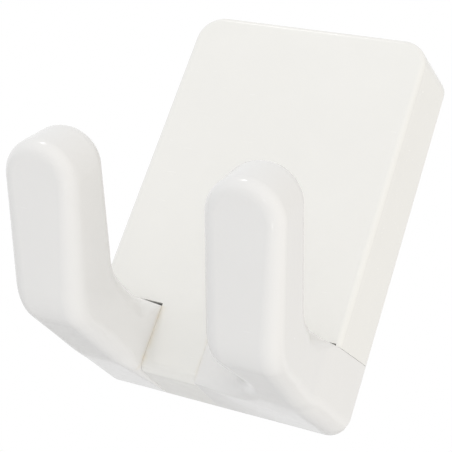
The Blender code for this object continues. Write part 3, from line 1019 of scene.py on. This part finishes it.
def seam_stain(name):
    """Shader group for brownish grime and painted warm shade along an upright seam in the front, up to a
    height.
    """
    inputs = {"Position": "Vector", **dict.fromkeys(SEAM_INPUTS, "Float")}
    tree, wiring, entry, leave = start_tree(name, "ShaderNodeTree", inputs, {"Mask": "Float"})
    math_node = wiring.math
    place = wiring.add("ShaderNodeSeparateXYZ", {0: entry["Position"]}).outputs
    aside = math_node("ABSOLUTE", math_node("SUBTRACT", place["X"], entry["Seam"]))
    before = math_node("ABSOLUTE", math_node("SUBTRACT", place["Y"], entry["Front"]))
    near = wiring.spread(math_node("ADD", aside, before), 0.0, entry["Reach"], 1.0, 0.0)
    below = math_node("LESS_THAN", place["Z"], entry["Top"])
    patchy = wiring.pattern(entry["Position"], STAIN_AND_SHADE_PATCHES, STAIN_AND_SHADE_LEAST)
    mask = entry["Strength"]
    for part in (near, near, below, patchy):
        mask = math_node("MULTIPLY", mask, part)
    wiring.put(mask, leave["Mask"])
    return tree


def start_material(name):
    material = bpy.data.materials.new(name)
    material.use_nodes = True
    wiring = Wiring(material.node_tree)
    position = wiring.add("ShaderNodeTexCoord").outputs["Object"]
    return material, wiring, wiring.nodes["Principled BSDF"], position


def plastic(name, tone, look, seams=()):
    """A moulded plastic of a tone and a look, with brownish grime and painted warm shade along seams that are
    given by the seam group's inputs.
    """
    material, wiring, shader, position = start_material(name)
    skin = wiring.shader_group(moulded_skin, {
        "Position": position,
        "Tone": scaled(tone, (1.0, 1.0, 1.0)),
        "Cloud Tone": scaled(tone, [1.0 - look.cloudiness] * 3),
        "Peel Scale": look.peel_scale,
        "Roughness Low": look.rough_low,
        "Roughness High": look.rough_high,
        "Scuffs": look.scuffs,
    })
    base = skin["Colour"]
    # Brownish grime and painted warm shade, mixed into the colour along the seams.
    dirt = (*bpy.context.scene.coat_hook_finishes.dirt, 1.0)
    for seam in seams:
        stain_and_shade = wiring.shader_group(seam_stain, {"Position": position, **dict(zip(SEAM_INPUTS, seam))})
        base = wiring.blend(stain_and_shade["Mask"], base, dirt)
    peel = wiring.bump(skin["Height"], PEEL_STRENGTH, look.peel_depth)
    wiring.feed(shader, {
        "Base Color": base, "Roughness": skin["Roughness"], "Normal": peel, "IOR": PLASTIC_IOR})
    return material


def zinc_plating(name, tone):
    """Bright plating with turning marks round the screw and cloudy, slightly blue and yellow patches."""
    material, wiring, shader, position = start_material(name)
    patches = wiring.pattern(position, PATCHES)
    marks = wiring.noise(wiring.stretched(position, TURNING_SCALE), TURNING.scale, TURNING.detail)
    wiring.feed(shader, {
        "Base Color": wiring.blend(patches, scaled(tone, ZINC_WARM), scaled(tone, ZINC_COOL)),
        "Roughness": wiring.spread(marks, TURNING.low, TURNING.high, *ZINC_ROUGHNESS),
        "Normal": wiring.bump(marks, TURNING_STRENGTH, TURNING_DEPTH),
        "Metallic": 1.0,
    })
    return material


def finish(slot):
    """The material of a slot, made the first time it is asked for."""
    name = slot + "_finish"
    tones = bpy.context.scene.coat_hook_finishes
    if name in bpy.data.materials:
        return bpy.data.materials[name]
    if slot == "zinc_steel":
        return zinc_plating(name, tones.zinc)
    if slot == "plate_plastic":
        return plastic(name, tones.plate, LOOKS[slot])
    sizes = HookParts(bpy.context.scene)
    front_top = (-sizes.cover.depth, BOTTOM + sizes.hook.foot_height)
    # Where the seams' brownish grime and painted warm shade go, below the feet's top.
    seams = (
        (sizes.cover.tongue_left, *front_top, *LEFT_DIRT_AND_SHADE),
        (sizes.cover.tongue_right, *front_top, *RIGHT_DIRT_AND_SHADE),
    )
    return plastic(name, tones.cover if slot == "cover_plastic" else tones.hook, LOOKS[slot], seams)


FLOOR_HALF = 2.5
FLOOR_CELLS = 8
WHITE = (1.0, 1.0, 1.0, 1.0)
WARM_WHITE = (1.0, 0.968, 0.915, 1.0)
# A way in which the room's light changes: how near to that way the change starts, and is full.
Side = namedtuple("Side", "way low high")
WARM_SIDE = Side((1.0, 0.0, 0.2), 0.20, 0.90)
DIM_SIDE = Side((0.30, 0.70, 0.65), 0.35, 0.85)
DIM_SHARE = 0.15
# The sides that are brighter or darker, and the share by which they are.
UNEVEN_SIDES = (
    (Side((0.95, -0.15, -0.10), 0.30, 0.95), 0.48),
    (Side((0.0, -0.75, -0.66), 0.40, 0.95), -0.10),
)
# Name, direction, distance, width and height, and power of each lamp, which all point at the prongs.
LAMPS = (
    ("front_lamp", (-0.34, -0.59, 0.73), 0.70, (0.13, 0.13), 0.42),
    ("right_lamp", (0.40, -0.84, -0.30), 0.70, (0.035, 0.035), 0.06),
    ("low_lamp", (0.45, -0.31, -0.84), 0.33, (0.006, 0.03), 0.018),
)
LAMP_TARGET = (0.0, -0.06, -0.02)
SENSOR_WIDTH = 36.0
NEAREST_VIEW = 0.01


def make_floor(stage):
    """A pale floor that takes the object's shadow and lets the room's light through from below."""
    bm = bmesh.new()
    bmesh.ops.create_grid(bm, x_segments=FLOOR_CELLS, y_segments=FLOOR_CELLS, size=FLOOR_HALF)
    mesh = bpy.data.meshes.new("studio_floor")
    bm.to_mesh(mesh)
    bm.free()
    mesh.transform(Matrix.Translation((0.0, 0.0, stage.floor_height)))
    floor = new_object("studio_floor", mesh)
    material = plastic("floor_finish", bpy.context.scene.coat_hook_finishes.floor, LOOKS["floor"])
    mesh.materials.append(material)
    wiring = Wiring(material.node_tree)
    bounced = wiring.add("ShaderNodeLightPath").outputs["Is Diffuse Ray"]
    solid = wiring.nodes["Principled BSDF"].outputs["BSDF"]
    clear = wiring.add("ShaderNodeBsdfTransparent").outputs["BSDF"]
    wiring.end_in("Material Output", bounced, solid, clear)


def make_room(stage):
    """Soft light from all round, warm on the right and weak from behind, before a white background."""
    world = bpy.data.worlds.new("studio_room")
    bpy.context.scene.world = world
    world.use_nodes = True
    wiring = Wiring(world.node_tree)
    soft = wiring.nodes["Background"]
    direction = wiring.add("ShaderNodeTexCoord").outputs["Generated"]

    def towards(side, out_low, out_high):
        """A value between two limits for how much a direction points to a side."""
        ways = {0: direction, 1: Vector(side.way).normalized()}
        dot = wiring.add("ShaderNodeVectorMath", ways, operation="DOT_PRODUCT")
        return wiring.spread(dot.outputs["Value"], side.low, side.high, out_low, out_high)

    strength = towards(DIM_SIDE, stage.sky, stage.sky * DIM_SHARE)
    for side, share in UNEVEN_SIDES:
        strength = wiring.math("ADD", strength, towards(side, 0.0, stage.sky * share))
    warm = wiring.blend(towards(WARM_SIDE, 0.0, 1.0), WHITE, WARM_WHITE)
    wiring.feed(soft, {"Color": warm, "Strength": strength})
    white = wiring.add("ShaderNodeBackground", {"Color": WHITE})
    rays = wiring.add("ShaderNodeLightPath").outputs
    seen = rays["Is Camera Ray"]
    for ray in ("Is Glossy Ray", "Is Transmission Ray"):
        seen = wiring.math("MAXIMUM", seen, rays[ray])
    wiring.end_in("World Output", seen, soft.outputs["Background"], white.outputs["Background"])


def make_lamps():
    """Small lamps that give the gloss its highlights."""
    for name, direction, distance, size, power in LAMPS:
        direction = Vector(direction).normalized()
        lamp = bpy.data.lights.new(name, "AREA")
        lamp.shape = "RECTANGLE"
        lamp.size, lamp.size_y = size
        lamp.energy = power
        obj = new_object(name, lamp)
        obj.location = Vector(LAMP_TARGET) + distance * direction
        obj.rotation_euler = (-direction).to_track_quat("-Z", "Y").to_euler()
        obj.visible_camera = False


def make_camera(stage):
    view = bpy.data.cameras.new("photo_camera")
    view.sensor_fit = "HORIZONTAL"
    view.sensor_width = SENSOR_WIDTH
    view.lens = stage.camera_lens
    view.clip_start = NEAREST_VIEW
    camera = new_object("photo_camera", view)
    camera.location = stage.camera_place
    camera.rotation_euler = stage.camera_turn
    bpy.context.scene.camera = camera


class HookParts:
    """The size groups of one scene under short names."""

    def __init__(self, scene):
        self.cover = scene.coat_hook_cover
        self.hook = scene.coat_hook_prongs
        self.plate = scene.coat_hook_plate
        self.screw = scene.coat_hook_screws


class COATHOOK_OT_cover(bpy.types.Operator):
    """Make the front cover with its tongue, tabs and hollow back"""

    bl_idname = "coathook.cover"
    bl_label = "Make cover"

    def execute(self, context):
        make_cover(HookParts(context.scene))
        return {"FINISHED"}


class COATHOOK_OT_prongs(bpy.types.Operator):
    """Make the two prongs with their feet"""

    bl_idname = "coathook.prongs"
    bl_label = "Make prongs"

    def execute(self, context):
        sizes = HookParts(context.scene)
        make_hook(sizes, -1, "left_prong", "left_hook")
        make_hook(sizes, 1, "right_prong", "right_hook")
        return {"FINISHED"}


class COATHOOK_OT_plate(bpy.types.Operator):
    """Make the back plate that the cover slides on to"""

    bl_idname = "coathook.plate"
    bl_label = "Make back plate"

    def execute(self, context):
        make_back_plate(HookParts(context.scene))
        return {"FINISHED"}


class COATHOOK_OT_screws(bpy.types.Operator):
    """Make the four hook screws and the two wall screws"""

    bl_idname = "coathook.screws"
    bl_label = "Make screws"

    def execute(self, context):
        sizes = HookParts(context.scene)
        make_hook_screws(sizes)
        make_wall_screws(sizes)
        return {"FINISHED"}


class COATHOOK_OT_stage(bpy.types.Operator):
    """Make the floor, the light and the camera"""

    bl_idname = "coathook.stage"
    bl_label = "Make stage"

    def execute(self, context):
        stage = context.scene.coat_hook_stage
        make_floor(stage)
        make_room(stage)
        make_lamps()
        make_camera(stage)
        context.scene.view_settings.view_transform = "Standard"
        return {"FINISHED"}


OPERATORS = (COATHOOK_OT_cover, COATHOOK_OT_prongs, COATHOOK_OT_plate, COATHOOK_OT_screws, COATHOOK_OT_stage)


class COATHOOK_PT_pieces(bpy.types.Panel):
    """Lists the pieces and their sizes"""

    bl_label = "Coat hook"
    bl_idname = "COATHOOK_PT_pieces"
    bl_space_type = "VIEW_3D"
    bl_region_type = "UI"
    bl_category = "Coat hook"

    def draw(self, context):
        for operator in OPERATORS:
            self.layout.operator(operator.bl_idname)
        for name, group in GROUPS.items():
            column = self.layout.column(align=True)
            column.label(text=group.__doc__)
            for key in group.__annotations__:
                column.prop(getattr(context.scene, name), key)


GROUPS = {
    "coat_hook_cover": CoverSizes,
    "coat_hook_prongs": HookSizes,
    "coat_hook_plate": PlateSizes,
    "coat_hook_screws": ScrewSizes,
    "coat_hook_finishes": Finishes,
    "coat_hook_stage": StageSettings,
}


def register():
    for group in GROUPS.values():
        bpy.utils.register_class(group)
    for name, group in GROUPS.items():
        setattr(bpy.types.Scene, name, PointerProperty(type=group))
    for operator in OPERATORS:
        bpy.utils.register_class(operator)
    bpy.utils.register_class(COATHOOK_PT_pieces)


def unregister():
    bpy.utils.unregister_class(COATHOOK_PT_pieces)
    for operator in reversed(OPERATORS):
        bpy.utils.unregister_class(operator)
    for name, group in GROUPS.items():
        delattr(bpy.types.Scene, name)
        bpy.utils.unregister_class(group)


def main():
    register()
    bpy.ops.coathook.cover()
    bpy.ops.coathook.prongs()
    bpy.ops.coathook.plate()
    bpy.ops.coathook.screws()
    bpy.ops.coathook.stage()


if __name__ == "__main__":
    main()
